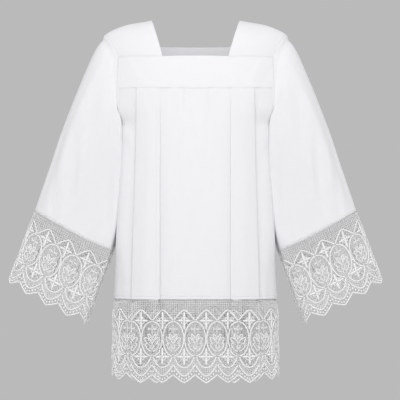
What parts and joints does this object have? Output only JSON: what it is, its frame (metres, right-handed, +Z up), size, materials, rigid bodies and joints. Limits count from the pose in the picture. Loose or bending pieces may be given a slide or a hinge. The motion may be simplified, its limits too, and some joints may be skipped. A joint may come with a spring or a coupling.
{
  "type": "surplice",
  "caption": "Hip-length white vestment with square neck, yoke, box pleats and wide sleeves, edged with deep openwork lace, worn over clothes.",
  "frame": {"origin": "midway between the shoulder straps, at the height of their neck corners, on the shoulder line", "axes": "+Z up, +X to the wearer's left, -Y to the front"},
  "size_m": [0.9176, 0.2556, 0.8979],
  "materials": {
    "cloth": "smooth matt plain weave",
    "lace": "matt guipure lace"
  },
  "bodies": {
    "root": {"yoke_front": "cloth", "yoke_back": "cloth", "shoulder_strap_left": "cloth", "shoulder_strap_right": "cloth", "front_panel": "cloth", "back_panel": "cloth", "sleeve_left_front": "cloth", "sleeve_left_back": "cloth", "sleeve_right_front": "cloth", "sleeve_right_back": "cloth", "hem_lace_front": "lace", "hem_lace_back": "lace", "cuff_lace_left_front": "lace", "cuff_lace_left_back": "lace", "cuff_lace_right_front": "lace", "cuff_lace_right_back": "lace"}
  },
  "joints": []
}
